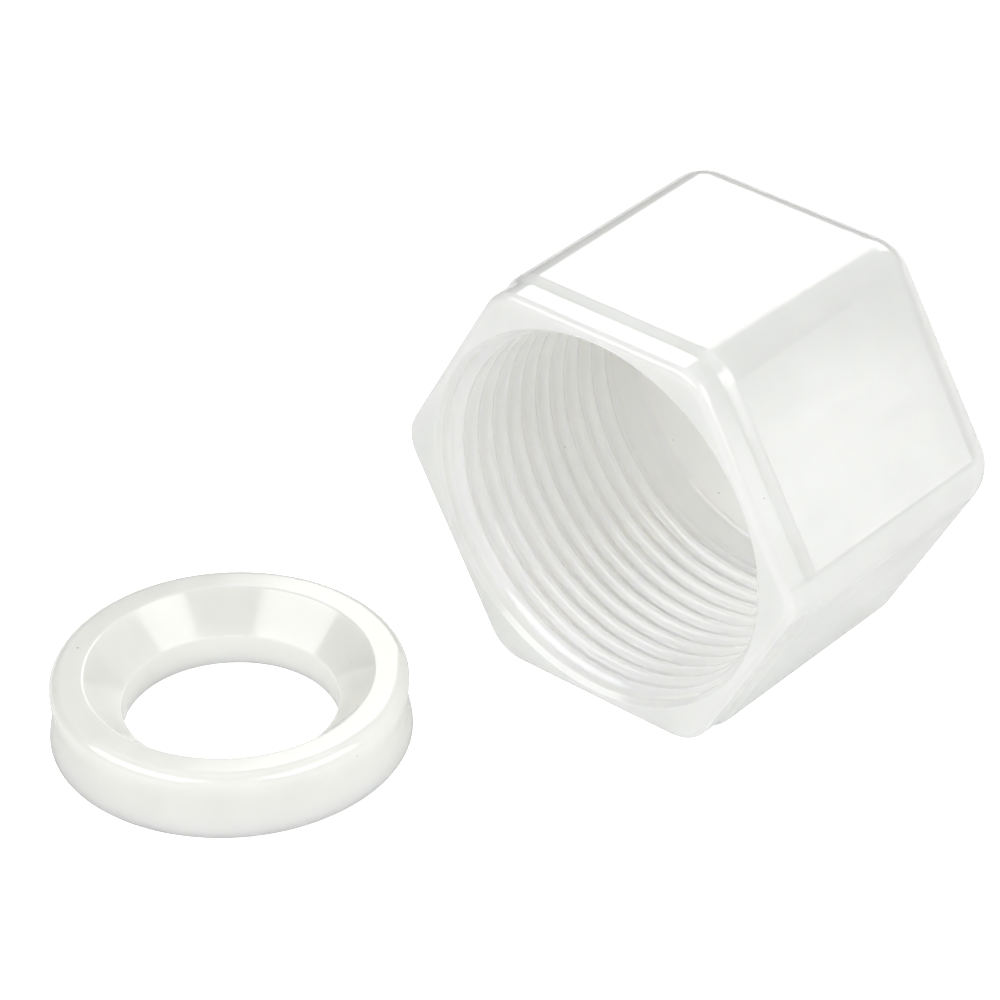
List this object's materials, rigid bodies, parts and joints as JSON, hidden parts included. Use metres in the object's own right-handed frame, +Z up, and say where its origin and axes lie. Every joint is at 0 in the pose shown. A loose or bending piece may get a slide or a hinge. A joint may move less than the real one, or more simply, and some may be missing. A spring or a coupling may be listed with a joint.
{
  "type": "pipe cap",
  "caption": "Closed hexagonal pipe cap with an internal pipe thread, lying on a flat with its loose coned sealing ring beside the mouth.",
  "frame": {"origin": "on the surface that the pair rests on, under the middle of the box round the cap and the ring", "axes": "+Z up; the cap's bore axis runs along Y, with its mouth facing -Y and its closed end +Y; the ring's axis is vertical"},
  "size_m": [0.0708, 0.082, 0.046],
  "materials": {
    "cap_plastic": "natural translucent polypropylene, semi-gloss as moulded",
    "ring_plastic": "natural translucent polypropylene, semi-gloss as moulded"
  },
  "bodies": {
    "cap": {"cap_nut": "cap_plastic"},
    "ring": {"cone_ring": "ring_plastic"}
  },
  "joints": [
    {"name": "ring_lift", "type": "slide", "parent": "cap", "child": "ring", "axis": [0, 0, 1], "range_m": [0, 0.05]}
  ]
}
